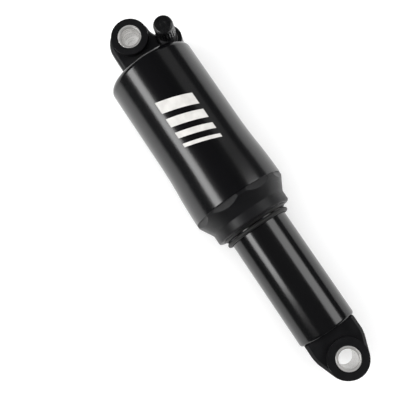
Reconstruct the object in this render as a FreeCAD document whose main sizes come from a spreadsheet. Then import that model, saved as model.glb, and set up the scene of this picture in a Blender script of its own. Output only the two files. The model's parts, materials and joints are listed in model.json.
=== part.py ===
"""Bicycle rear shock: an air spring round a small oil damper, between two eyes.

The origin is the centre of the upper eye. +X runs along the shock to the lower eye, +Z along both eye
bores, and +Y towards the side that carries the air valve. All sizes are in millimetres.
"""

import FreeCAD, Part
import math
import os
import re
import PartDesign
import Sketcher

Vector = FreeCAD.Vector

# Driving sizes. x_ is a place along the shock and z_ a place along the valve, both from the upper eye.
SIZES = {
    "eye_to_eye": 165,
    "eye_width": 22.2,
    "block_width": 16,
    "bush_rad": 5.25,
    "pin_rad": 4,
    "bush_edge": 0.7,
    "slip": 0.04,
    # upper eyelet, which is also the can's head
    "upper_boss_rad": 8.2,
    "head_left": 10.6,
    "head_right": 12.6,
    "head_end": 9,
    "head_round": 2.2,
    "waist_run": 5,
    "waist_bend": 7,
    "x_can_top": 13,
    "x_spigot_end": 23,
    "spigot_rad": 16.5,
    "x_head_ring": 19,
    # valve boss and air way
    "valve_x": 8.3,
    "valve_y": 14,
    "valve_boss_rad": 6.2,
    "valve_face": 5,
    "valve_back": 7,
    "valve_room_rad": 5.2,
    "air_way_rad": 1.25,
    "air_chamber": 3,
    # air can
    "can_rad": 20.35,
    "can_end_rad": 21.5,
    "can_bore_rad": 17.5,
    "can_mouth_rad": 18.5,
    "can_top_round": 3,
    "x_flare": 54,
    "x_nut_inside": 79,
    "x_can_end": 85,
    "seam": 0.3,
    # seal head nut and what it holds
    "rim_rad": 21.4,
    "rim_flat": 20.5,
    "x_cone": 86.3,
    "x_collar": 92.7,
    "x_nut_end": 97.4,
    "collar_rad": 17.8,
    "collar_round": 1,
    "nut_bore_rad": 13.7,
    "x_nut_ring": 83,
    "seal_rad": 15.8,
    "guide_rad": 14.4,
    "wiper_rad": 15.5,
    "lip_rad": 14.6,
    # rubber rings: radius of the section
    "thick_ring": 0.9,
    "thin_ring": 0.75,
    "x_travel_ring": 99.8,
    # damper body
    "tube_rad": 13.3,
    "tube_bore_rad": 10.7,
    "x_tube": 70,
    "x_tube_end": 152,
    "tube_end_round": 1.4,
    # air piston, which is also the damper's lid
    "x_piston": 66,
    "x_piston_end": 76,
    "x_plug_end": 80,
    "piston_rad": 17.2,
    "lid_bore_rad": 4.9,
    "shaft_bush_rad": 5.5,
    "shaft_seal_rad": 6.5,
    "x_plug_ring": 78,
    # shaft and main piston
    "shaft_rad": 4.5,
    "shaft_end_rad": 3,
    "x_shaft": 12.5,
    "x_shoulder": 84,
    "x_shims": 85,
    "x_main": 86,
    "x_main_end": 91,
    "x_lock_nut": 92,
    "x_shaft_end": 95.3,
    "main_rad": 10.4,
    "port_rad": 1.1,
    "port_circle": 6,
    "shim": 0.25,
    # floating piston
    "x_float": 127.5,
    "x_float_end": 133.5,
    "float_rad": 10.55,
    # lower eyelet
    "lower_boss_rad": 8.7,
    "x_lower_spigot": 143,
    "x_lower_ring": 147.5,
    "lower_half": 11.9,
    "lower_end_half": 8.739,
    "lower_end_bend": 9.3,
    "x_slant": 159.5,
    "x_slant_end": 168.182,
    "lower_edge": 1.3,
    "x_fill": 156.5,
    "fill_rad": 2,
    # air valve
    "stem_rad": 3.85,
    "stem_foot_rad": 3.2,
    "stem_collar_rad": 4.4,
    "z_stem_foot": 2,
    "z_thread": 7.2,
    "z_stem_top": 20,
    "thread_pitch": 0.794,
    "thread_root_rad": 3.5,
    "stem_bore_rad": 1.2,
    "core_rad": 2.2,
    "core_room_rad": 1.3,
    "pin_wire_rad": 0.55,
    "z_core": 8,
    "z_core_room": 15.5,
    "z_core_top": 17,
    "z_pin_foot": 6.9,
    "z_pin_collar": 18.8,
    "z_pin_top": 19.8,
    "pin_collar_rad": 1.1,
    # valve cap
    "cap_rad": 4.35,
    "cap_bore_rad": 3.9,
    "z_cap": 13,
    "z_cap_seal": 20.1,
    "z_cap_roof": 21.2,
    "z_cap_top": 22.6,
    "cap_round": 0.8,
    "knurl_rad": 0.3,
}

doc = FreeCAD.newDocument("rear_shock")
sheet = doc.addObject("Spreadsheet::Sheet", "Sizes")
for row, (alias, size) in enumerate(SIZES.items(), start=1):
    sheet.set(f"A{row}", alias)
    sheet.set(f"B{row}", str(size))
    sheet.setAlias(f"B{row}", alias)
doc.recompute()

subparts = []


def cells(expression):
    """The expression with every named size written as its cell in the sheet."""
    names = "|".join(sorted(SIZES, key=len, reverse=True))
    return re.sub(rf"\b({names})\b", r"Sizes.\1", str(expression))


def value(expression):
    """What an expression of the sheet comes to now."""
    return float(sheet.evalExpression(cells(expression)))


def bind(thing, **expressions):
    """Binds properties of an object to expressions of the sheet."""
    for name, expression in expressions.items():
        thing.setExpression(name, cells(expression))
    return thing


def place(thing, x="0", y="0", z="0", axis=Vector(0, 0, 1), turn=0):
    """Puts an object at a point given by the sheet, turned about an axis by so many degrees."""
    spot = Vector(value(x), value(y), value(z))
    thing.Placement = FreeCAD.Placement(spot, FreeCAD.Rotation(axis, turn))
    for letter, expression in zip("xyz", (x, y, z)):
        thing.setExpression(f"Placement.Base.{letter}", cells(expression))
    return thing


def along_x(thing, x):
    """Turns a primitive that was made along Z to lie along the shock, from x on."""
    return place(thing, x, axis=Vector(0, 1, 0), turn=90)


def upright(thing, x, y="0"):
    """Stands a turned body on end, so that its own X is the shock's Z."""
    return place(thing, x, y, axis=Vector(0, 1, 0), turn=-90)


def subpart(thing, label):
    """Names an object and counts it as a sub-part."""
    thing.Label = label
    subparts.append(thing)
    return thing


def new_body(label):
    return subpart(doc.addObject("PartDesign::Body", label), label)


def sketch_on(body, role, name, offset="0"):
    """An empty sketch parallel to one of the body's own origin planes."""
    sketch = body.newObject("Sketcher::SketchObject", name)
    plane = next(item for item in body.Origin.OriginFeatures if item.Role == role)
    sketch.AttachmentSupport = [(plane, "")]
    sketch.MapMode = "FlatFace"
    if offset != "0":
        sketch.AttachmentOffset = FreeCAD.Placement(Vector(0, 0, value(offset)), FreeCAD.Rotation())
        sketch.setExpression("AttachmentOffset.Base.z", cells(offset))
    return sketch


def fix_point(sketch, shape, end, x, y):
    """Fixes a point of the sketch at (x, y), each an expression of the sheet."""
    for kind, axis, expression in (("DistanceX", -2, x), ("DistanceY", -1, y)):
        if expression == "0":
            sketch.addConstraint(Sketcher.Constraint("PointOnObject", shape, end, axis))
        else:
            distance = Sketcher.Constraint(kind, -1, 1, shape, end, value(expression))
            number = sketch.addConstraint(distance)
            sketch.setExpression(f"Constraints[{number}]", cells(expression))


def arc_between(start, end, bend):
    """An arc of that radius between two points, and the numbers of its ends at start and end.

    It bows to the left of its travel, or to the right if bend < 0.
    """
    chord = end - start
    left = Vector(-chord.y, chord.x, 0).normalize()
    bow = abs(bend) - math.sqrt(max(bend**2 - (chord.Length / 2) ** 2, 0))
    middle = (start + end) / 2 + left * math.copysign(bow, bend)
    if bend < 0:
        return Part.Arc(start, middle, end), 1, 2
    return Part.Arc(end, middle, start), 2, 1


def outline(sketch, corners):
    """Draws a closed outline through corners (x, y), or (x, y, bend) where an arc reaches the corner.

    All are expressions of the sheet, and a bend that starts with "-" bows to the right of its travel.
    """
    points = [Vector(value(corner[0]), value(corner[1]), 0) for corner in corners]
    sides = []
    for i, corner in enumerate(corners):
        start, end = points[i - 1], points[i]
        if len(corner) == 2:
            sides.append((sketch.addGeometry(Part.LineSegment(start, end)), 1, 2))
            continue
        size = corner[2].lstrip("-")
        bend = -value(size) if corner[2].startswith("-") else value(size)
        arc, first, last = arc_between(start, end, bend)
        side = sketch.addGeometry(arc)
        sides.append((side, first, last))
        number = sketch.addConstraint(Sketcher.Constraint("Radius", side, abs(bend)))
        sketch.setExpression(f"Constraints[{number}]", cells(size))
    for i, corner in enumerate(corners):
        side, _, end = sides[i]
        following, start, _ = sides[(i + 1) % len(sides)]
        sketch.addConstraint(Sketcher.Constraint("Coincident", side, end, following, start))
        fix_point(sketch, side, end, corner[0], corner[1])


def disc(x, y, radius):
    """Draws a circle in a sketch; its place and radius are expressions of the sheet."""

    def draw(sketch):
        flat = Part.Circle(Vector(value(x), value(y), 0), Vector(0, 0, 1), value(radius))
        ring = sketch.addGeometry(flat)
        fix_point(sketch, ring, 3, x, y)
        number = sketch.addConstraint(Sketcher.Constraint("Radius", ring, value(radius)))
        sketch.setExpression(f"Constraints[{number}]", cells(radius))

    return draw


def revolve(body, corners, name="Turned", cut=False):
    """Turns an outline of (x, radius) corners about the body's X axis."""
    sketch = sketch_on(body, "XY_Plane", name + "Outline")
    outline(sketch, corners)
    feature = body.newObject("PartDesign::Groove" if cut else "PartDesign::Revolution", name)
    feature.Profile = (sketch, [""])
    feature.ReferenceAxis = (sketch, ["H_Axis"])
    feature.Angle = 360
    doc.recompute()
    return feature


def turned(label, corners):
    """A sub-part that is one turning about the shock's axis."""
    body = new_body(label)
    revolve(body, corners)
    return body


def sleeve(start, end, inner, outer):
    """The outline of a plain ring from start to end."""
    return [(start, inner), (end, inner), (end, outer), (start, outer)]


def extrude(body, role, draw, length, name, cut=False, both=False, back=False, offset="0"):
    """Pads or pockets what draw puts in a sketch, and checks that the body's volume changed."""
    sketch = sketch_on(body, role, name + "Sketch", offset)
    draw(sketch)
    before = body.Shape.Volume if body.Tip else 0
    feature = body.newObject("PartDesign::Pocket" if cut else "PartDesign::Pad", name)
    feature.Profile = (sketch, [""])
    feature.SideType = "Symmetric" if both else "One side"
    feature.Reversed = back
    bind(feature, Length=length)
    doc.recompute()
    change = body.Shape.Volume - before
    if (change > -0.05) if cut else (change < 0.05):
        raise RuntimeError(f"{body.Label}: {name} changes the volume by {change:.3f} mm3")
    return feature


def dress(body, kind, wanted, size, name):
    """Rounds or chamfers the edges of the body that wanted accepts."""
    base = body.Tip
    edges = [f"Edge{i}" for i, edge in enumerate(base.Shape.Edges, start=1) if wanted(edge)]
    if not edges:
        raise RuntimeError(f"{body.Label}: {name} finds no edge")
    feature = body.newObject("PartDesign::" + kind, name)
    feature.Base = (base, edges)
    bind(feature, **{"Radius" if kind == "Fillet" else "Size": size})
    doc.recompute()
    return feature


def repeat_about_x(body, feature, count):
    """Repeats a feature round the body's X axis."""
    pattern = body.newObject("PartDesign::PolarPattern", feature.Name + "Pattern")
    pattern.Originals = [feature]
    axis = next(item for item in body.Origin.OriginFeatures if item.Role == "X_Axis")
    pattern.Axis = (axis, [""])
    pattern.Angle = 360
    pattern.Occurrences = count
    body.Tip = pattern
    doc.recompute()
    return pattern


def round_ring(label, x, middle, section):
    """A rubber ring of round section about the shock's axis."""
    ring = subpart(doc.addObject("Part::Torus", label), label)
    bind(ring, Radius1=middle, Radius2=section)
    return along_x(ring, x)


def eye_bush(label, x):
    """The plain bush pressed into an eye, with a chamfer at each mouth of its bore."""
    half = "eye_width / 2"
    mouth = "pin_rad + bush_edge"
    corners = [
        (f"0 - {half}", "bush_rad"),
        (f"0 - {half}", mouth),
        (f"bush_edge - {half}", "pin_rad"),
        (f"{half} - bush_edge", "pin_rad"),
        (half, mouth),
        (half, "bush_rad"),
    ]
    return upright(turned(label, corners), x)


def add_eye(body, x, boss_rad):
    """Adds the round boss of an eye, and bores it for its bush."""
    extrude(body, "XY_Plane", disc(x, "0", boss_rad), "eye_width", "Eye", both=True)
    extrude(body, "XY_Plane", disc(x, "0", "bush_rad"), "eye_width + 2", "EyeBore", cut=True, both=True)


def on_block_face(edge):
    """True for an edge of the flat front or back of an eyelet's block."""
    half = value("block_width / 2")
    return all(abs(abs(vertex.Z) - half) < 0.01 for vertex in edge.Vertexes)


def upper_eyelet():
    """The head: spigot, block, valve boss and eye."""
    body = new_body("upper_eyelet_head")
    ring_half = "(thick_ring + 0.2)"
    spigot = [
        ("x_can_top", "0"),
        ("x_spigot_end", "0"),
        ("x_spigot_end", "spigot_rad"),
        (f"x_head_ring + {ring_half}", "spigot_rad"),
        (f"x_head_ring + {ring_half}", "spigot_rad - thick_ring * 2"),
        (f"x_head_ring - {ring_half}", "spigot_rad - thick_ring * 2"),
        (f"x_head_ring - {ring_half}", "spigot_rad"),
        ("x_can_top", "spigot_rad"),
    ]
    revolve(body, spigot, "Spigot")

    def block(sketch):
        corners = [
            ("x_can_top + 1", "0 - head_left"),
            ("x_can_top + 1", "head_right"),
            ("waist_run", "head_right"),
            ("waist_run", "head_end + waist_bend - sqrt(waist_bend ^ 2 - waist_run ^ 2)"),
            ("0", "head_end", "waist_bend"),
            ("0 - head_end", "0", "-head_end"),
            ("head_left - head_end", "0 - head_left", "-head_left"),
        ]
        outline(sketch, corners)

    extrude(body, "XY_Plane", block, "block_width", "Block", both=True)
    dress(
        body,
        "Fillet",
        lambda edge: on_block_face(edge)
        and edge.CenterOfMass.y < 0
        and edge.CenterOfMass.x < value("x_can_top") - 1,
        "head_round",
        "BlockRound",
    )
    boss = disc("valve_x", "valve_y", "valve_boss_rad")
    extrude(body, "XY_Plane", boss, "valve_face", "ValveBoss")
    extrude(body, "XY_Plane", boss, "valve_back", "ValveBossBack", back=True)
    can_seat = sleeve("x_can_top", "x_can_top + 8", "spigot_rad", "can_rad + 5")
    revolve(body, can_seat, "CanSeat", cut=True)
    room = disc("valve_x", "valve_y", "valve_room_rad")
    extrude(body, "XY_Plane", room, "block_width", "ValveRoom", cut=True, back=True, offset="valve_face")
    add_eye(body, "0", "upper_boss_rad")
    counterbore = disc("valve_x", "valve_y", "stem_collar_rad")
    stem_hole = disc("valve_x", "valve_y", "stem_foot_rad")
    chamber = disc("valve_x", "valve_y", "core_rad")
    extrude(body, "XY_Plane", counterbore, "shim * 3", "SealSeat", cut=True, offset="valve_face")
    extrude(body, "XY_Plane", stem_hole, "valve_face + z_stem_foot", "StemHole", cut=True, offset="valve_face")
    extrude(body, "XY_Plane", chamber, "air_chamber", "AirChamber", cut=True, offset="0 - z_stem_foot")
    air_way = disc("valve_y - air_way_rad * 1.3", "0 - z_stem_foot - air_chamber / 2", "air_way_rad")
    extrude(body, "YZ_Plane", air_way, "x_spigot_end", "AirWay", cut=True, back=True, offset="valve_x")
    revolve(body, sleeve("x_shaft", "x_spigot_end + 1", "0", "shaft_end_rad"), "ShaftHole", cut=True)
    return body


def air_can():
    """The can: a closed sleeve that swells gently into its threaded mouth."""
    rise = "(can_end_rad - can_rad) / 2"
    run = "(x_can_end - x_flare) / 2"
    bend = f"(({run})^2 + ({rise})^2) / ({rise}) / 2"
    corners = [
        ("x_can_top", "spigot_rad"),
        ("x_spigot_end", "spigot_rad"),
        ("x_spigot_end", "can_bore_rad"),
        ("x_nut_inside", "can_bore_rad"),
        ("x_nut_inside", "can_mouth_rad"),
        ("x_can_end", "can_mouth_rad"),
        ("x_can_end", "can_end_rad - seam"),
        ("x_can_end - seam", "can_end_rad"),
        (f"x_flare + {run}", f"can_rad + {rise}", f"-{bend}"),
        ("x_flare", "can_rad", bend),
        ("x_can_top + can_top_round", "can_rad"),
        ("x_can_top", "can_rad - can_top_round", "-can_top_round"),
    ]
    return turned("air_can", corners)


def seal_head_nut():
    """The nut that closes the can round the tube, with wrench flats on its cone."""
    body = new_body("seal_head_nut")
    ring_half = "(thin_ring + 0.2)"
    corners = [
        ("x_nut_inside", "nut_bore_rad"),
        ("x_nut_inside + 1.6", "nut_bore_rad"),
        ("x_nut_inside + 1.6", "seal_rad"),
        ("x_can_end - 0.6", "seal_rad"),
        ("x_can_end - 0.6", "nut_bore_rad"),
        ("x_can_end + 0.6", "nut_bore_rad"),
        ("x_can_end + 0.6", "guide_rad"),
        ("x_nut_end - 3.8", "guide_rad"),
        ("x_nut_end - 3.8", "nut_bore_rad"),
        ("x_nut_end - 2.8", "nut_bore_rad"),
        ("x_nut_end - 2.8", "wiper_rad"),
        ("x_nut_end", "wiper_rad"),
        ("x_nut_end", "collar_rad - collar_round"),
        ("x_nut_end - collar_round", "collar_rad", "-collar_round"),
        ("x_collar", "collar_rad"),
        ("x_cone", "rim_rad"),
        ("x_can_end + seam", "rim_rad"),
        ("x_can_end", "rim_rad - seam"),
        ("x_can_end", "can_mouth_rad"),
        (f"x_nut_ring + {ring_half}", "can_mouth_rad"),
        (f"x_nut_ring + {ring_half}", "can_mouth_rad - thin_ring * 2"),
        (f"x_nut_ring - {ring_half}", "can_mouth_rad - thin_ring * 2"),
        (f"x_nut_ring - {ring_half}", "can_mouth_rad"),
        ("x_nut_inside", "can_mouth_rad"),
    ]
    revolve(body, corners)

    def flat(sketch):
        outline(sketch, [("rim_flat", "-12"), ("rim_rad + 2", "-12"), ("rim_rad + 2", "12"), ("rim_flat", "12")])

    wrench_flat = extrude(body, "YZ_Plane", flat, "4", "WrenchFlat", cut=True, back=True, offset="x_can_end")
    repeat_about_x(body, wrench_flat, 8)
    return place(body, axis=Vector(1, 0, 0), turn=18)


def wiper():
    """The wiper in the nut's mouth, with the lip that shows below it."""
    inner = "tube_rad + slip"
    corners = [
        ("x_nut_end - 2.8", inner),
        ("x_nut_end + 1", inner),
        ("x_nut_end + 1", "lip_rad"),
        ("x_nut_end", "lip_rad + 0.5"),
        ("x_nut_end", "wiper_rad"),
        ("x_nut_end - 2.8", "wiper_rad"),
    ]
    return turned("wiper_seal", corners)


def damper_body():
    """The tube that slides in the can and holds the oil."""
    corners = [
        ("x_tube", "tube_bore_rad"),
        ("x_tube_end", "tube_bore_rad"),
        ("x_tube_end", "tube_rad - tube_end_round"),
        ("x_tube_end - tube_end_round", "tube_rad", "-tube_end_round"),
        ("x_tube", "tube_rad"),
    ]
    return turned("damper_body", corners)


def air_piston():
    """The piston on the tube's top, whose plug closes the tube round the shaft."""
    ring_half = "(thin_ring + 0.2)"
    corners = [
        ("x_piston", "lid_bore_rad"),
        ("x_piston", "piston_rad"),
        ("x_piston + 1.2", "piston_rad"),
        ("x_piston + 1.2", "piston_rad - 1.9"),
        ("x_piston + 3.8", "piston_rad - 1.9"),
        ("x_piston + 3.8", "piston_rad"),
        ("x_piston + 5.4", "piston_rad"),
        ("x_piston + 5.4", "piston_rad - 1"),
        ("x_piston + 8.6", "piston_rad - 1"),
        ("x_piston + 8.6", "piston_rad"),
        ("x_piston_end", "piston_rad"),
        ("x_piston_end", "tube_rad"),
        ("x_tube", "tube_rad"),
        ("x_tube", "tube_bore_rad"),
        (f"x_plug_ring - {ring_half}", "tube_bore_rad"),
        (f"x_plug_ring - {ring_half}", "tube_bore_rad - thin_ring * 2"),
        (f"x_plug_ring + {ring_half}", "tube_bore_rad - thin_ring * 2"),
        (f"x_plug_ring + {ring_half}", "tube_bore_rad"),
        ("x_plug_end", "tube_bore_rad"),
        ("x_plug_end", "shaft_seal_rad"),
        ("x_plug_end - 2.6", "shaft_seal_rad"),
        ("x_plug_end - 2.6", "lid_bore_rad"),
        ("x_plug_end - 3", "lid_bore_rad"),
        ("x_plug_end - 3", "shaft_bush_rad"),
        ("x_tube", "shaft_bush_rad"),
        ("x_tube", "lid_bore_rad"),
    ]
    return turned("air_piston", corners)


def shaft():
    """The damper shaft, screwed into the head and carrying the main piston."""
    corners = [
        ("x_shaft", "0"),
        ("x_shaft", "shaft_end_rad"),
        ("x_spigot_end", "shaft_end_rad"),
        ("x_spigot_end", "shaft_rad"),
        ("x_shoulder", "shaft_rad"),
        ("x_shoulder", "shaft_end_rad"),
        ("x_shaft_end - 0.4", "shaft_end_rad"),
        ("x_shaft_end", "shaft_end_rad - 0.4"),
        ("x_shaft_end", "0"),
    ]
    return turned("damper_shaft", corners)


def shim_stack(label, start, widest_first):
    """Four thin discs of falling width on the shaft, each a solid of its own."""
    outer_radii = ["main_rad - 1.8", "main_rad - 2.6", "main_rad - 3.6", "main_rad - 4.6"]
    if not widest_first:
        outer_radii.reverse()
    discs = []
    for i, outer_rad in enumerate(outer_radii):
        plate = bind(doc.addObject("Part::Cylinder", f"{label}_plate_{i}"), Radius=outer_rad, Height="shim")
        hole = bind(doc.addObject("Part::Cylinder", f"{label}_hole_{i}"), Radius="shaft_end_rad", Height="shim")
        washer = doc.addObject("Part::Cut", f"{label}_disc_{i}")
        washer.Base = plate
        washer.Tool = hole
        for round_piece in (plate, hole):
            along_x(round_piece, f"{start} + shim * {i}")
        discs.append(washer)
    stack = subpart(doc.addObject("Part::Compound", label), label)
    stack.Links = discs
    return stack


def main_piston():
    """The damping piston, with six oil ports."""
    body = new_body("main_piston")
    corners = [
        ("x_main", "shaft_end_rad"),
        ("x_main_end", "shaft_end_rad"),
        ("x_main_end", "main_rad"),
        ("x_main_end - 1.2", "main_rad"),
        ("x_main_end - 1.2", "main_rad - 0.5"),
        ("x_main + 1.2", "main_rad - 0.5"),
        ("x_main + 1.2", "main_rad"),
        ("x_main", "main_rad"),
    ]
    revolve(body, corners)
    port = extrude(
        body, "YZ_Plane", disc("port_circle", "0", "port_rad"), "6", "Port", cut=True, back=True, offset="x_main"
    )
    repeat_about_x(body, port, 6)
    return body


def lock_nut():
    """The hexagon nut that holds the main piston on the shaft."""
    hexagon = bind(
        doc.addObject("Part::Prism", "lock_nut_hexagon"), Circumradius="shaft_end_rad * 1.85", Height="shim * 11"
    )
    hexagon.Polygon = 6
    hole = bind(doc.addObject("Part::Cylinder", "lock_nut_hole"), Radius="shaft_end_rad", Height="shim * 11")
    for piece in (hexagon, hole):
        along_x(piece, "x_lock_nut")
    nut = subpart(doc.addObject("Part::Cut", "lock_nut"), "lock_nut")
    nut.Base = hexagon
    nut.Tool = hole
    return nut


def floating_piston():
    """The cup that parts the oil from the gas."""
    middle = "(x_float + x_float_end) / 2"
    corners = [
        ("x_float", "0"),
        ("x_float", "float_rad"),
        (f"{middle} - thin_ring - 0.2", "float_rad"),
        (f"{middle} - thin_ring - 0.2", "tube_bore_rad - slip - thin_ring * 2"),
        (f"{middle} + thin_ring + 0.2", "tube_bore_rad - slip - thin_ring * 2"),
        (f"{middle} + thin_ring + 0.2", "float_rad"),
        ("x_float_end", "float_rad"),
        ("x_float_end", "float_rad - 3.4"),
        ("x_float + 2.5", "float_rad - 3.4"),
        ("x_float + 2.5", "0"),
    ]
    return turned("floating_piston", corners)


def lower_eyelet():
    """The foot of the tube: spigot, block with slanted sides, and eye."""
    body = new_body("lower_eyelet")
    ring_half = "(thin_ring + 0.2)"

    def block(sketch):
        corners = [
            ("x_tube_end", "lower_half"),
            ("x_tube_end", "0 - lower_half"),
            ("x_slant", "0 - lower_half"),
            ("x_slant_end", "0 - lower_end_half"),
            ("x_slant_end", "lower_end_half", "-lower_end_bend"),
            ("x_slant", "lower_half"),
        ]
        outline(sketch, corners)

    extrude(body, "XY_Plane", block, "block_width", "Block", both=True)
    dress(
        body,
        "Chamfer",
        lambda edge: on_block_face(edge) and edge.CenterOfMass.x > value("x_tube_end + 1"),
        "lower_edge",
        "BlockEdges",
    )
    spigot = [
        ("x_lower_spigot", "0"),
        ("x_tube_end", "0"),
        ("x_tube_end", "tube_bore_rad"),
        (f"x_lower_ring + {ring_half}", "tube_bore_rad"),
        (f"x_lower_ring + {ring_half}", "tube_bore_rad - thin_ring * 2"),
        (f"x_lower_ring - {ring_half}", "tube_bore_rad - thin_ring * 2"),
        (f"x_lower_ring - {ring_half}", "tube_bore_rad"),
        ("x_lower_spigot", "tube_bore_rad"),
    ]
    revolve(body, spigot, "Spigot")
    add_eye(body, "eye_to_eye", "lower_boss_rad")
    fill = disc("x_fill", "0", "fill_rad")
    extrude(body, "XZ_Plane", fill, "lower_half + 1", "FillHole", cut=True, back=True)
    gas_way = disc("0", "0", "fill_rad / 2")
    extrude(body, "YZ_Plane", gas_way, "x_fill - x_lower_spigot", "GasWay", cut=True, offset="x_fill")
    return body


def fill_screw():
    """The grub screw that shuts the gas way, with its hexagon socket."""
    body = new_body("gas_fill_screw")
    revolve(body, sleeve("0", "fill_rad * 2.5", "0", "fill_rad"))

    def hexagon(sketch):
        radius = value("fill_rad / 2")
        spots = [Vector(radius * math.cos(math.pi * i / 3), radius * math.sin(math.pi * i / 3)) for i in range(6)]
        for i, spot in enumerate(spots):
            sketch.addGeometry(Part.LineSegment(spots[i - 1], spot))
        for i in range(6):
            sketch.addConstraint(Sketcher.Constraint("Coincident", i, 2, (i + 1) % 6, 1))

    extrude(body, "YZ_Plane", hexagon, "fill_rad", "Socket", cut=True, back=True)
    return place(body, "x_fill", "0.4 - lower_half", axis=Vector(0, 0, 1), turn=90)


def valve_stem():
    """The threaded valve stem on the head's boss. Its own X is the valve's axis."""
    corners = [
        ("0 - z_stem_foot", "stem_bore_rad"),
        ("z_core", "stem_bore_rad"),
        ("z_core", "core_rad"),
        ("z_stem_top", "core_rad"),
        ("z_stem_top", "stem_rad - 0.4"),
    ]
    turns = int((value("z_stem_top") - value("z_thread")) / value("thread_pitch"))
    for i in range(turns, 0, -1):
        corners.append((f"z_thread + thread_pitch * {i}", "stem_rad"))
        corners.append((f"z_thread + thread_pitch * {i - 0.5}", "thread_root_rad"))
    corners += [
        ("z_thread", "stem_rad"),
        ("z_thread - 0.4", "thread_root_rad"),
        ("valve_face + 1", "thread_root_rad"),
        ("valve_face + 1", "stem_collar_rad"),
        ("valve_face", "stem_collar_rad"),
        ("valve_face", "stem_foot_rad"),
        ("0 - z_stem_foot", "stem_foot_rad"),
    ]
    return upright(turned("valve_stem", corners), "valve_x", "valve_y")


def valve_core():
    """The core body screwed into the stem."""
    inner = "pin_wire_rad + slip"
    corners = [
        ("z_core", inner),
        ("z_core_room", inner),
        ("z_core_room", "core_room_rad"),
        ("z_core_top", "core_room_rad"),
        ("z_core_top", "core_rad"),
        ("z_core", "core_rad"),
    ]
    return upright(turned("valve_core", corners), "valve_x", "valve_y")


def valve_pin():
    """The pin that opens the valve, with its collar and its seat below the core."""
    corners = [
        ("z_pin_foot", "0"),
        ("z_pin_foot", "stem_bore_rad - 0.1"),
        ("z_core - 0.1", "stem_bore_rad - 0.1"),
        ("z_core - 0.1", "pin_wire_rad"),
        ("z_pin_collar", "pin_wire_rad"),
        ("z_pin_collar", "pin_collar_rad"),
        ("z_pin_collar + 0.3", "pin_collar_rad"),
        ("z_pin_collar + 0.3", "pin_wire_rad"),
        ("z_pin_top", "pin_wire_rad"),
        ("z_pin_top", "0"),
    ]
    return upright(turned("valve_pin", corners), "valve_x", "valve_y")


def valve_cap():
    """The screwed cap, with a knurled side."""
    body = new_body("valve_cap")
    corners = [
        ("z_cap", "cap_bore_rad"),
        ("z_cap", "cap_rad"),
        ("z_cap_top - cap_round", "cap_rad"),
        ("z_cap_top", "cap_rad - cap_round", "cap_round"),
        ("z_cap_top", "0"),
        ("z_cap_roof", "0"),
        ("z_cap_roof", "cap_bore_rad"),
    ]
    revolve(body, corners)
    groove = disc("cap_rad + knurl_rad / 3", "0", "knurl_rad")
    flute = extrude(
        body, "YZ_Plane", groove, "z_cap_top - z_cap - cap_round", "Flute", cut=True, back=True, offset="z_cap"
    )
    repeat_about_x(body, flute, 24)
    return upright(body, "valve_x", "valve_y")


upper_eyelet()
eye_bush("upper_eye_bush", "0")
air_can()
round_ring("head_o_ring", "x_head_ring", "spigot_rad - thick_ring", "thick_ring")
seal_head_nut()
round_ring("seal_head_o_ring", "x_nut_ring", "can_mouth_rad - thin_ring", "thin_ring")
turned("guide_bush", sleeve("x_can_end + 0.6", "x_nut_end - 3.8", "tube_rad + slip", "guide_rad"))
turned("main_seal", sleeve("x_nut_inside + 1.8", "x_can_end - 0.8", "tube_rad + slip", "seal_rad"))
wiper()
shaft()
turned("bottom_out_bumper", sleeve("x_spigot_end", "x_spigot_end + 4.4", "shaft_rad", "shaft_rad * 2.2"))
turned("top_out_bumper", sleeve("x_nut_inside - 2.7", "x_nut_inside", "nut_bore_rad", "piston_rad - 0.4"))
turned("base_washer", sleeve("x_shoulder", "x_shims", "shaft_end_rad", "shaft_rad + 1"))
shim_stack("compression_shims", "x_shims", widest_first=False)
main_piston()
turned("main_piston_band", sleeve("x_main + 1.2", "x_main_end - 1.2", "main_rad - 0.5", "tube_bore_rad - slip"))
shim_stack("rebound_shims", "x_main_end", widest_first=True)
lock_nut()
valve_stem()
foot_washer = sleeve("valve_face - shim * 3", "valve_face", "stem_foot_rad", "stem_collar_rad")
upright(turned("valve_seal", foot_washer), "valve_x", "valve_y")
valve_core()
damper_body()
air_piston()
turned("air_piston_seal", sleeve("x_piston + 1.3", "x_piston + 3.7", "piston_rad - 1.9", "can_bore_rad - slip"))
turned("air_piston_glide", sleeve("x_piston + 5.4", "x_piston + 8.6", "piston_rad - 1", "can_bore_rad - slip"))
turned("shaft_bushing", sleeve("x_tube", "x_plug_end - 3", "shaft_rad + slip", "shaft_bush_rad"))
turned("shaft_seal", sleeve("x_plug_end - 2.6", "x_plug_end", "shaft_rad + slip", "shaft_seal_rad"))
round_ring("damper_lid_o_ring", "x_plug_ring", "tube_bore_rad - thin_ring", "thin_ring")
lower_eyelet()
eye_bush("lower_eye_bush", "eye_to_eye")
round_ring("lower_eyelet_o_ring", "x_lower_ring", "tube_bore_rad - thin_ring", "thin_ring")
fill_screw()
floating_piston()
round_ring("floating_piston_o_ring", "(x_float + x_float_end) / 2", "tube_bore_rad - slip - thin_ring", "thin_ring")
round_ring("travel_ring", "x_travel_ring", "tube_rad + slip + thick_ring", "thick_ring")
valve_pin()
cap_disc = sleeve("z_cap_seal", "z_cap_roof - slip", "core_rad - 0.7", "cap_bore_rad - slip")
upright(turned("valve_cap_seal", cap_disc), "valve_x", "valve_y")
valve_cap()

doc.recompute()
for thing in doc.Objects:
    if "Invalid" in thing.State or "Error" in thing.State:
        raise RuntimeError(f"{thing.Label} is {thing.State}")
for piece in subparts:
    if piece.Shape.isNull() or not piece.Shape.isValid() or not piece.Shape.Solids:
        raise RuntimeError(f"{piece.Label} has no sound solid")

os.makedirs("parts", exist_ok=True)
for piece in subparts:
    piece.Shape.exportStep(f"parts/{piece.Label}.step")
    print(f"{piece.Label}: {len(piece.Shape.Solids)} solid, {piece.Shape.Volume:.1f} mm3")
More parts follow.
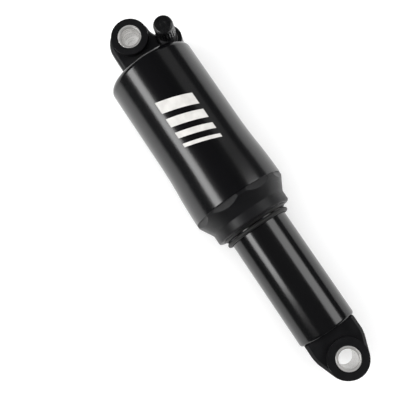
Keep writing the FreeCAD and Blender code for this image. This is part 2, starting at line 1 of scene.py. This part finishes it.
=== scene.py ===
"""A bicycle rear shock, lying on a pale floor under two long soft lights.

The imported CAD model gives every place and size. This script gives the pieces that show a finer mesh,
and every piece its finish. Sizes of the finer meshes are in millimetres, in the CAD's own frame.
"""

import json
import math

import bmesh
import bpy
from mathutils import Matrix, Vector


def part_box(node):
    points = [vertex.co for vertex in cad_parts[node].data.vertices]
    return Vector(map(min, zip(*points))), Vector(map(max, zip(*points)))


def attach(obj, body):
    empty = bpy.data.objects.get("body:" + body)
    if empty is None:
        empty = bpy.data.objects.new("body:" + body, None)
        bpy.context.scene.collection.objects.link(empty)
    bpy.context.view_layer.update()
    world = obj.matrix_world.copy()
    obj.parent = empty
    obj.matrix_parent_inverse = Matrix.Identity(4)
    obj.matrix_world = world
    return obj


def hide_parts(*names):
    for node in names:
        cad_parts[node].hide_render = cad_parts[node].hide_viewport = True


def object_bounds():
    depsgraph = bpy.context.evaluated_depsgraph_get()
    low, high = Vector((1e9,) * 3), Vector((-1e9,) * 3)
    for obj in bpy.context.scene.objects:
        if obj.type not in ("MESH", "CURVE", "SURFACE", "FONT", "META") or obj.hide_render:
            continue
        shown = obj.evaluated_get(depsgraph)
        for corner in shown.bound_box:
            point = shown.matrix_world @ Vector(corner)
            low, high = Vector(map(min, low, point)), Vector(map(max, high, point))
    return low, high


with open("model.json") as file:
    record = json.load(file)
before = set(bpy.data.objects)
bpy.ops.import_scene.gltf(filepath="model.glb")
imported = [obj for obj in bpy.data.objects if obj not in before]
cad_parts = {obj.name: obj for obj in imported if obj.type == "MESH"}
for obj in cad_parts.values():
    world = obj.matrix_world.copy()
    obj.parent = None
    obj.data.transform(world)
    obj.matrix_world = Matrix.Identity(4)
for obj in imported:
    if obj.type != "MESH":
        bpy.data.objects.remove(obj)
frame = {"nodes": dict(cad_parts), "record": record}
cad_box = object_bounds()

MM = 0.001
SLOT_OF = {part["node"]: part["material_slot"] for part in frame["record"]["subparts"]}


def extent(node):
    """(first x, last x, outer radius) of a CAD node that was turned about the shock's axis, in mm."""
    low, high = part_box(node)
    return low[0] / MM, high[0] / MM, (high[1] - low[1]) / 2 / MM


def centre(node):
    """The middle of a CAD node's box, in mm."""
    low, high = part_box(node)
    return [(a + b) / 2 / MM for a, b in zip(low, high)]


# ---------------------------------------------------------------- finishes


def add_noise(tree, coordinates, scale, stretch=(1, 1, 1), detail=3.0):
    """A noise texture in the object's own coordinates, stretched along its axes."""
    mapping = tree.nodes.new("ShaderNodeMapping")
    mapping.inputs["Scale"].default_value = stretch
    tree.links.new(coordinates, mapping.inputs["Vector"])
    noise = tree.nodes.new("ShaderNodeTexNoise")
    noise.inputs["Scale"].default_value = scale
    noise.inputs["Detail"].default_value = detail
    tree.links.new(mapping.outputs["Vector"], noise.inputs["Vector"])
    return noise.outputs["Fac"]


def spread(tree, factor, low, high):
    """Maps the middle of a noise's range to low..high."""
    ranged = tree.nodes.new("ShaderNodeMapRange")
    ranged.inputs["From Min"].default_value = 0.3
    ranged.inputs["From Max"].default_value = 0.7
    ranged.inputs["To Min"].default_value = low
    ranged.inputs["To Max"].default_value = high
    tree.links.new(factor, ranged.inputs["Value"])
    return ranged.outputs["Result"]


SMUDGES_PER_CLOUD = 2.3
GRAIN_HEIGHT = 0.0002


def finish(name, light, dark, rough, metallic=0.0, specular=0.5, grain=2600, depth=0.02,
           stretch=(1, 1, 1), cloud=90):
    """A finish whose colour clouds between two tones, with varied roughness and a fine grain.

    rough is (smoothest, roughest). grain and cloud count the bumps and the clouds per metre.
    """
    material = bpy.data.materials.new(name)
    material.use_nodes = True
    tree = material.node_tree
    shader = tree.nodes["Principled BSDF"]
    shader.inputs["Metallic"].default_value = metallic
    shader.inputs["Specular IOR Level"].default_value = specular
    coordinates = tree.nodes.new("ShaderNodeTexCoord").outputs["Object"]
    clouds = add_noise(tree, coordinates, cloud, stretch)
    tones = tree.nodes.new("ShaderNodeValToRGB")
    tones.color_ramp.elements[0].position = 0.35
    tones.color_ramp.elements[0].color = (*dark, 1)
    tones.color_ramp.elements[1].position = 0.65
    tones.color_ramp.elements[1].color = (*light, 1)
    tree.links.new(clouds, tones.inputs["Fac"])
    tree.links.new(tones.outputs["Color"], shader.inputs["Base Color"])
    smudges = add_noise(tree, coordinates, cloud * SMUDGES_PER_CLOUD, stretch, detail=5.0)
    tree.links.new(spread(tree, smudges, *rough), shader.inputs["Roughness"])
    bump = tree.nodes.new("ShaderNodeBump")
    bump.inputs["Strength"].default_value = depth
    bump.inputs["Distance"].default_value = GRAIN_HEIGHT
    tree.links.new(add_noise(tree, coordinates, grain, stretch), bump.inputs["Height"])
    tree.links.new(bump.outputs["Normal"], shader.inputs["Normal"])
    return material


ALONG = (0.05, 1, 1)
ROUND_Z = (0.03, 0.03, 1)
FINISHES = {
    "gloss_black": finish("gloss_black", (0.0042, 0.0042, 0.0050), (0.0020, 0.0020, 0.0024), (0.16, 0.22),
                          specular=0.5, depth=0.05, stretch=ALONG),
    "satin_black": finish("satin_black", (0.0070, 0.0070, 0.0078), (0.0035, 0.0035, 0.0040), (0.32, 0.44),
                          specular=0.24, grain=3800, depth=0.25),
    "tube_black": finish("tube_black", (0.0040, 0.0040, 0.0045), (0.0020, 0.0020, 0.0023), (0.15, 0.21),
                         specular=0.5, depth=0.04, stretch=ALONG),
    "bright_bush": finish("bright_bush", (0.90, 0.89, 0.87), (0.62, 0.61, 0.60), (0.22, 0.36),
                          metallic=0.7, grain=5200, depth=0.25, stretch=ROUND_Z, cloud=600),
    "shaft_steel": finish("shaft_steel", (0.80, 0.80, 0.81), (0.70, 0.70, 0.72), (0.08, 0.14),
                          metallic=1.0, stretch=ALONG),
    "spring_steel": finish("spring_steel", (0.56, 0.56, 0.57), (0.42, 0.42, 0.43), (0.25, 0.38),
                           metallic=1.0, depth=0.1),
    "bare_aluminium": finish("bare_aluminium", (0.82, 0.82, 0.84), (0.68, 0.68, 0.70), (0.24, 0.34),
                             metallic=1.0, depth=0.1),
    "valve_brass": finish("valve_brass", (0.72, 0.54, 0.25), (0.55, 0.40, 0.18), (0.22, 0.35),
                          metallic=1.0, depth=0.1, cloud=500),
    "black_rubber": finish("black_rubber", (0.010, 0.010, 0.010), (0.006, 0.006, 0.006), (0.42, 0.58),
                           specular=0.4, grain=5200, depth=0.35),
    "bumper_rubber": finish("bumper_rubber", (0.060, 0.060, 0.060), (0.035, 0.035, 0.035), (0.6, 0.75),
                            specular=0.3, depth=0.3),
    "bearing_plastic": finish("bearing_plastic", (0.12, 0.12, 0.12), (0.07, 0.07, 0.07), (0.4, 0.55),
                              specular=0.4, depth=0.15),
    "black_plastic": finish("black_plastic", (0.006, 0.006, 0.0065), (0.003, 0.003, 0.0035), (0.2, 0.3),
                            specular=0.5, grain=4200, depth=0.12, cloud=400),
    "black_steel": finish("black_steel", (0.015, 0.015, 0.016), (0.008, 0.008, 0.009), (0.28, 0.4),
                          specular=0.6, depth=0.15, cloud=400),
}
INK = finish("printed_silver", (0.68, 0.67, 0.645), (0.57, 0.56, 0.54), (0.38, 0.5), specular=0.4,
             grain=6000, depth=0.15, cloud=260)

for node_name, node_object in frame["nodes"].items():
    for material_slot in node_object.material_slots:
        material_slot.material = FINISHES[SLOT_OF[node_name]]


# ---------------------------------------------------------------- mesh helpers


def rounded(corners, steps=5):
    """The corners (along, radius, round) of an outline, each with its round drawn as a fine arc."""
    points = []
    for i, (a, b, radius) in enumerate(corners):
        here = Vector((a, b))
        if not radius:
            points.append(here)
            continue
        back = (Vector(corners[i - 1][:2]) - here).normalized()
        ahead = (Vector(corners[(i + 1) % len(corners)][:2]) - here).normalized()
        half = back.angle(ahead) / 2
        run = radius / math.tan(half)
        middle = here + (back + ahead).normalized() * radius / math.sin(half)
        first = here + back * run - middle
        last = here + ahead * run - middle
        sweep = first.angle_signed(last)
        for step in range(steps + 1):
            turn = Matrix.Rotation(-sweep * step / steps, 2)
            points.append(middle + turn @ first)
    return points


def new_piece(name, mesh, material, body, *nodes):
    """Links a finished bmesh as a smooth piece that rides on a body and stands for CAD nodes."""
    data = bpy.data.meshes.new(name)
    mesh.to_mesh(data)
    mesh.free()
    data.polygons.foreach_set("use_smooth", [True] * len(data.polygons))
    piece = bpy.data.objects.new(name, data)
    bpy.context.collection.objects.link(piece)
    data.materials.append(material)
    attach(piece, body)
    if nodes:
        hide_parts(*nodes)
    return piece


def even_normals(piece, sharp_deg=32):
    """Keeps wide faces flat between fine rounds, and hard edges hard."""
    piece.data.set_sharp_from_angle(angle=math.radians(sharp_deg))
    weighted = piece.modifiers.new("even_normals", "WEIGHTED_NORMAL")
    weighted.keep_sharp = True


def turn_mesh(points, segments, upright_at=None, radius_of=None):
    """A bmesh turned about the shock's axis, or about a line along Z through upright_at.

    points is the closed outline as (along, radius) in mm. radius_of(along, radius, angle) may change
    the radius, for knurls and threads.
    """
    mesh = bmesh.new()
    rings = []
    for along, radius in points:
        ring = []
        for k in range(segments):
            angle = 2 * math.pi * k / segments
            reach = radius_of(along, radius, angle) if radius_of else radius
            c, s = reach * math.cos(angle), reach * math.sin(angle)
            if upright_at:
                spot = Vector((upright_at[0] + c, upright_at[1] + s, along))
            else:
                spot = Vector((along, c, s))
            ring.append(mesh.verts.new(spot * MM))
        rings.append(ring)
    for i, ring in enumerate(rings):
        before = rings[i - 1]
        for k in range(segments):
            mesh.faces.new((before[k - 1], before[k], ring[k], ring[k - 1]))
    bmesh.ops.remove_doubles(mesh, verts=mesh.verts, dist=1e-7)
    bmesh.ops.recalc_face_normals(mesh, faces=mesh.faces)
    return mesh


# ---------------------------------------------------------------- can

can_x, can_end, can_end_rad = extent("air_can")
CAN_RAD = 20.35
FLARE_X = 54.0
FLARE_STEPS = 40
SPIGOT_RAD = 16.5
SPIGOT_LENGTH = 10
CAN_BORE_RAD = 17.5
MOUTH_RAD = 18.5
MOUTH_DEPTH = 6
MOUTH_EDGE = 0.5


def can_surface(x):
    """The can's outer radius: straight, then a gentle S out to its mouth."""
    t = min(max((x - FLARE_X) / (can_end - FLARE_X), 0), 1)
    rise = 2 * t * t if t < 0.5 else 1 - 2 * (1 - t) ** 2
    return CAN_RAD + (can_end_rad - CAN_RAD) * rise


flare = []
for i in range(FLARE_STEPS + 1):
    flare_x = FLARE_X + (can_end - MOUTH_EDGE - FLARE_X) * i / FLARE_STEPS
    flare.append((flare_x, can_surface(flare_x), 0))
can_outline = rounded(
    [
        (can_x, SPIGOT_RAD, 0),
        (can_x + SPIGOT_LENGTH, SPIGOT_RAD, 0.2),
        (can_x + SPIGOT_LENGTH, CAN_BORE_RAD, 0.2),
        (can_end - MOUTH_DEPTH, CAN_BORE_RAD, 0),
        (can_end - MOUTH_DEPTH, MOUTH_RAD, 0),
        (can_end, MOUTH_RAD, 0.15),
        (can_end, can_end_rad, 0.35),
        *reversed(flare),
        (can_x, CAN_RAD, 3.0),
    ],
    steps=9,
)
can = new_piece("can_shell", turn_mesh(can_outline, 288), FINISHES["gloss_black"], "can_side", "air_can")
even_normals(can)


# ---------------------------------------------------------------- nut, wiper, ring, tube

nut_x, nut_end, nut_rad = extent("seal_head_nut")
NUT_BORE_RAD = 13.7
WIPER_SEAT_RAD = 15.5
WIPER_SEAT_DEPTH = 2.8
COLLAR_RAD = 17.8
COLLAR_LENGTH = 4.7
NUT_RIM = 1.3
SEAM = 0.02
FLATS = 8
FLAT_REACH = 20.5
FIRST_FLAT_DEG = 18
nut_outline = rounded(
    [
        (nut_x, NUT_BORE_RAD, 0),
        (nut_end - WIPER_SEAT_DEPTH, NUT_BORE_RAD, 0),
        (nut_end - WIPER_SEAT_DEPTH, WIPER_SEAT_RAD, 0),
        (nut_end, WIPER_SEAT_RAD, 0.2),
        (nut_end, COLLAR_RAD, 1.0),
        (nut_end - COLLAR_LENGTH, COLLAR_RAD, 0.8),
        (can_end + NUT_RIM, nut_rad, 0.4),
        (can_end + SEAM, nut_rad, 0.3),
        (can_end + SEAM, MOUTH_RAD, 0),
        (nut_x, MOUTH_RAD, 0),
    ]
)
nut_mesh = turn_mesh(nut_outline, 288)
for k in range(FLATS):
    angle = math.radians(FIRST_FLAT_DEG + 360 / FLATS * k)
    facing = Vector((0, math.cos(angle), math.sin(angle)))
    cut = bmesh.ops.bisect_plane(
        nut_mesh,
        geom=nut_mesh.verts[:] + nut_mesh.edges[:] + nut_mesh.faces[:],
        plane_co=facing * FLAT_REACH * MM,
        plane_no=facing,
        clear_outer=True,
    )
    rim = [edge for edge in cut["geom_cut"] if isinstance(edge, bmesh.types.BMEdge)]
    bmesh.ops.contextual_create(nut_mesh, geom=rim)
nut = new_piece("nut_shell", nut_mesh, FINISHES["satin_black"], "can_side", "seal_head_nut")
even_normals(nut, 12)

wiper_x, wiper_end, wiper_rad = extent("wiper_seal")
WIPER_BORE_RAD = 13.34
LIP_RAD = 14.6
LIP_ROOT_RAD = 15.1
wiper_outline = rounded(
    [
        (wiper_x, WIPER_BORE_RAD, 0),
        (wiper_end, WIPER_BORE_RAD, 0.1),
        (wiper_end, LIP_RAD, 0.35),
        (nut_end, LIP_ROOT_RAD, 0),
        (nut_end, wiper_rad, 0),
        (wiper_x, wiper_rad, 0),
    ]
)
wiper_mesh = turn_mesh(wiper_outline, 192)
wiper = new_piece("wiper_lip", wiper_mesh, FINISHES["black_rubber"], "can_side", "wiper_seal")
even_normals(wiper)

ring_x, ring_end, ring_rad = extent("travel_ring")
RING_STEPS = 28
section = (ring_end - ring_x) / 2
ring_outline = [
    Vector((ring_x + section * (1 - math.cos(t)), ring_rad - section + section * math.sin(t)))
    for t in (2 * math.pi * i / RING_STEPS for i in range(RING_STEPS))
]
ring_mesh = turn_mesh(ring_outline, 192)
new_piece("travel_o_ring", ring_mesh, FINISHES["black_rubber"], "travel_ring", "travel_ring")

tube_x, tube_end, tube_rad = extent("damper_body")
TUBE_BORE_RAD = 10.7
TUBE_END_ROUND = 1.4
tube_outline = rounded(
    [
        (tube_x, TUBE_BORE_RAD, 0),
        (tube_end, TUBE_BORE_RAD, 0),
        (tube_end, tube_rad, TUBE_END_ROUND),
        (tube_x, tube_rad, 0),
    ],
    steps=9,
)
tube_mesh = turn_mesh(tube_outline, 256)
tube = new_piece("tube_shell", tube_mesh, FINISHES["tube_black"], "tube_side", "damper_body")
even_normals(tube)


# ---------------------------------------------------------------- eye bushes

BUSH_BORE_RAD = 4.0
BUSH_MOUTH_RAD = 4.7
BUSH_LEAD_IN = 0.7


def bush(name, node, body):
    """A turned bush: a flat face, a round lead-in at each mouth, and a fine inner edge."""
    x, y, _ = centre(node)
    low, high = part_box(node)
    half = (high[2] - low[2]) / 2 / MM
    outer = (high[0] - low[0]) / 2 / MM
    corners = [
        (-half, outer, 0.15),
        (-half, BUSH_MOUTH_RAD, 0.12),
        (BUSH_LEAD_IN - half, BUSH_BORE_RAD, 0.25),
        (half - BUSH_LEAD_IN, BUSH_BORE_RAD, 0.25),
        (half, BUSH_MOUTH_RAD, 0.12),
        (half, outer, 0.15),
    ]
    mesh = turn_mesh(rounded(corners), 128, upright_at=(x, y))
    even_normals(new_piece(name, mesh, FINISHES["bright_bush"], body, node))


bush("upper_bush_turned", "upper_eye_bush", "can_side")
bush("lower_bush_turned", "lower_eye_bush", "tube_side")


# ---------------------------------------------------------------- valve

valve_x, valve_y, _ = centre("valve_cap")
cap_low, cap_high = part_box("valve_cap")
cap_foot, cap_top = cap_low[2] / MM, cap_high[2] / MM
CAP_RAD = 4.35
CAP_BORE_RAD = 3.9
CAP_ROOF = 1.4
CAP_RIBS = 24
RIB_DEPTH = 0.24
RIB_FOOT_GAP = 0.8
RIB_TOP_GAP = 1.9
DIMPLE_DEPTH = 0.15


def knurl(along, radius, angle):
    """Upright ribs on the cap's side that fade out near its two ends."""
    if radius < CAP_RAD - 0.3:
        return radius
    foot_fade = max(0, (along - cap_foot - RIB_FOOT_GAP) / 0.5)
    top_fade = max(0, (cap_top - RIB_TOP_GAP - along) / 0.7)
    fade = min(1, foot_fade, top_fade)
    return radius - RIB_DEPTH * fade * (0.5 - 0.5 * math.cos(CAP_RIBS * angle)) ** 0.7


side_run = cap_top - RIB_TOP_GAP - RIB_FOOT_GAP - cap_foot
side = [(cap_foot + RIB_FOOT_GAP + side_run * i / 12, CAP_RAD, 0) for i in range(13)]
cap_outline = rounded(
    [
        (cap_top - CAP_ROOF, 0, 0),
        (cap_top - CAP_ROOF, CAP_BORE_RAD, 0),
        (cap_foot, CAP_BORE_RAD, 0.15),
        (cap_foot, CAP_RAD, 0.25),
        *side,
        (cap_top, CAP_RAD - 0.25, 1.1),
        (cap_top, 1.4, 0.3),
        (cap_top - DIMPLE_DEPTH, 0.9, 0.2),
        (cap_top - DIMPLE_DEPTH, 0, 0),
    ]
)
cap_mesh = turn_mesh(cap_outline, 240, upright_at=(valve_x, valve_y), radius_of=knurl)
even_normals(new_piece("cap_knurled", cap_mesh, FINISHES["black_plastic"], "cap", "valve_cap"), 50)

stem_low, stem_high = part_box("valve_stem")
stem_foot, stem_top = stem_low[2] / MM, stem_high[2] / MM
THREAD_FOOT = 7.2
THREAD_PITCH = 0.794
THREAD_DEPTH = 0.35
ROWS_PER_PITCH = 10
STEM_RAD = 3.85
STEM_NECK_RAD = 3.5
STEM_COLLAR_RAD = 4.4
STEM_COLLAR_FOOT = 5
STEM_COLLAR_TOP = 6
STEM_FOOT_RAD = 3.2
CORE_RAD = 2.2
CORE_FLOOR = 8
AIR_HOLE_RAD = 1.2


def thread(along, radius, angle):
    """A climbing thread on the stem's side, which runs out at both ends."""
    if radius < STEM_RAD - 0.05 or along < THREAD_FOOT:
        return radius
    fade = min(1, (along - THREAD_FOOT) / 0.4, max(0, (stem_top - 0.4 - along) / 0.4))
    phase = ((along - THREAD_FOOT) / THREAD_PITCH - angle / (2 * math.pi)) % 1
    return radius - THREAD_DEPTH * fade * min(1, 1.25 * abs(1 - 2 * phase))


thread_run = stem_top - 0.3 - THREAD_FOOT
rows = int(thread_run / THREAD_PITCH * ROWS_PER_PITCH)
threaded = [(THREAD_FOOT + thread_run * i / rows, STEM_RAD, 0) for i in range(rows + 1)]
stem_outline = rounded(
    [
        (stem_top, CORE_RAD, 0.1),
        (CORE_FLOOR, CORE_RAD, 0),
        (CORE_FLOOR, AIR_HOLE_RAD, 0),
        (stem_foot, AIR_HOLE_RAD, 0),
        (stem_foot, STEM_FOOT_RAD, 0),
        (STEM_COLLAR_FOOT, STEM_FOOT_RAD, 0),
        (STEM_COLLAR_FOOT, STEM_COLLAR_RAD, 0.1),
        (STEM_COLLAR_TOP, STEM_COLLAR_RAD, 0.25),
        (STEM_COLLAR_TOP, STEM_NECK_RAD, 0.1),
        (THREAD_FOOT - 0.4, STEM_NECK_RAD, 0),
        *threaded,
        (stem_top, STEM_NECK_RAD, 0.1),
    ]
)
stem_mesh = turn_mesh(stem_outline, 96, upright_at=(valve_x, valve_y), radius_of=thread)
even_normals(new_piece("stem_threaded", stem_mesh, FINISHES["black_steel"], "can_side", "valve_stem"), 50)


# ---------------------------------------------------------------- plain printed bars on the can

BAR_LEFT = -7.4
BAR_RIGHT = 8.4
BAR_SLANT = 5.0
BAR_TOP_LIFT = 0.045
BAR_UNDER_LIFT = 0.005
BARS = [(36.5, 5.6), (44.9, 4.2), (51.9, 2.9), (57.6, 1.7)]


def printed_bar(name, x0, x1, y0, y1, slant):
    """A thin printed patch on the can's front, from y0 to y1, whose ends lean by slant."""
    mesh = bmesh.new()
    columns, lines = 14, 22
    grids = []
    for lift in (BAR_TOP_LIFT, BAR_UNDER_LIFT):
        grid = []
        for i in range(columns + 1):
            grid.append([])
            for j in range(lines + 1):
                y = y0 + (y1 - y0) * j / lines
                x = x0 + (x1 - x0) * i / columns + slant * (j / lines - 0.5)
                reach = can_surface(x) + lift
                angle = y / CAN_RAD
                spot = Vector((x, reach * math.sin(angle), reach * math.cos(angle)))
                grid[-1].append(mesh.verts.new(spot * MM))
        grids.append(grid)
    top, under = grids
    for i in range(columns):
        for j in range(lines):
            mesh.faces.new((top[i][j], top[i + 1][j], top[i + 1][j + 1], top[i][j + 1]))
            mesh.faces.new((under[i][j], under[i][j + 1], under[i + 1][j + 1], under[i + 1][j]))
    for i in range(columns):
        mesh.faces.new((top[i][0], under[i][0], under[i + 1][0], top[i + 1][0]))
        mesh.faces.new((top[i][-1], top[i + 1][-1], under[i + 1][-1], under[i][-1]))
    for j in range(lines):
        mesh.faces.new((top[0][j], top[0][j + 1], under[0][j + 1], under[0][j]))
        mesh.faces.new((top[-1][j], under[-1][j], under[-1][j + 1], top[-1][j + 1]))
    bmesh.ops.recalc_face_normals(mesh, faces=mesh.faces)
    piece = new_piece(name, mesh, INK, "can_side")
    even_normals(piece)


for number, (start, width) in enumerate(BARS):
    printed_bar(f"printed_bar_{number}", start, start + width, BAR_LEFT, BAR_RIGHT, BAR_SLANT)


# ---------------------------------------------------------------- floor, lights, camera

FLOOR_HALF_WIDTH = 6
FLOOR_GLOW = 0.22

low, high = cad_box
floor_mesh = bmesh.new()
bmesh.ops.create_grid(floor_mesh, x_segments=1, y_segments=1, size=FLOOR_HALF_WIDTH)
floor_data = bpy.data.meshes.new("floor")
floor_mesh.to_mesh(floor_data)
floor_mesh.free()
floor = bpy.data.objects.new("floor", floor_data)
floor.location = ((low[0] + high[0]) / 2, 0, low[2])
floor_data.materials.append(
    finish("pale_floor", (0.92, 0.92, 0.92), (0.90, 0.90, 0.90), (0.7, 0.8), specular=0.2, cloud=3, grain=400)
)
floor_shader = floor_data.materials[0].node_tree.nodes["Principled BSDF"]
floor_shader.inputs["Emission Color"].default_value = (1, 1, 1, 1)
floor_shader.inputs["Emission Strength"].default_value = FLOOR_GLOW
bpy.context.collection.objects.link(floor)


def soft_light(name, turn_deg, distance, along, length, width, power, glossy=True):
    """A long soft light parallel to the shock, turned about its axis from straight above.

    distance, along, length and width are in metres, power in watts.
    """
    lamp = bpy.data.lights.new(name, "AREA")
    lamp.shape = "RECTANGLE"
    lamp.size = length
    lamp.size_y = width
    lamp.energy = power
    light = bpy.data.objects.new(name, lamp)
    angle = math.radians(turn_deg)
    light.location = (along, distance * math.sin(angle), distance * math.cos(angle))
    light.rotation_euler = (-angle, 0, 0)
    light.visible_glossy = glossy
    bpy.context.collection.objects.link(light)


soft_light("left_strip", -47, 0.75, -0.18, 0.64, 0.25, 4.0)
soft_light("right_strip", 50, 0.80, 0.24, 0.52, 0.42, 2.6)
soft_light("right_glow", 52, 0.95, -0.45, 0.80, 0.50, 0.5)
soft_light("fill", 0, 1.6, 0.08, 2.4, 2.4, 31, glossy=False)

world = bpy.data.worlds.new("studio")
world.use_nodes = True
world.node_tree.nodes["Background"].inputs["Color"].default_value = (1, 1, 1, 1)
world.node_tree.nodes["Background"].inputs["Strength"].default_value = 0.05
bpy.context.scene.world = world
bpy.context.scene.view_settings.view_transform = "Standard"

lens = bpy.data.cameras.new("camera")
lens.sensor_width = 36
lens.lens = 65.1
lens.clip_start = 0.01
camera = bpy.data.objects.new("camera", lens)
place = Vector((0.124, -0.0141, 0.312))
target = Vector((0.0758, -0.0141, 0.0))
look = (target - place).normalized()
up = Vector((-0.8340, 0.5518, 0.0))
up = (up - look * up.dot(look)).normalized()
right = look.cross(up)
camera.matrix_world = Matrix((
    (right.x, up.x, -look.x, place.x),
    (right.y, up.y, -look.y, place.y),
    (right.z, up.z, -look.z, place.z),
    (0, 0, 0, 1),
))
bpy.context.collection.objects.link(camera)
bpy.context.scene.camera = camera

bpy.context.view_layer.update()
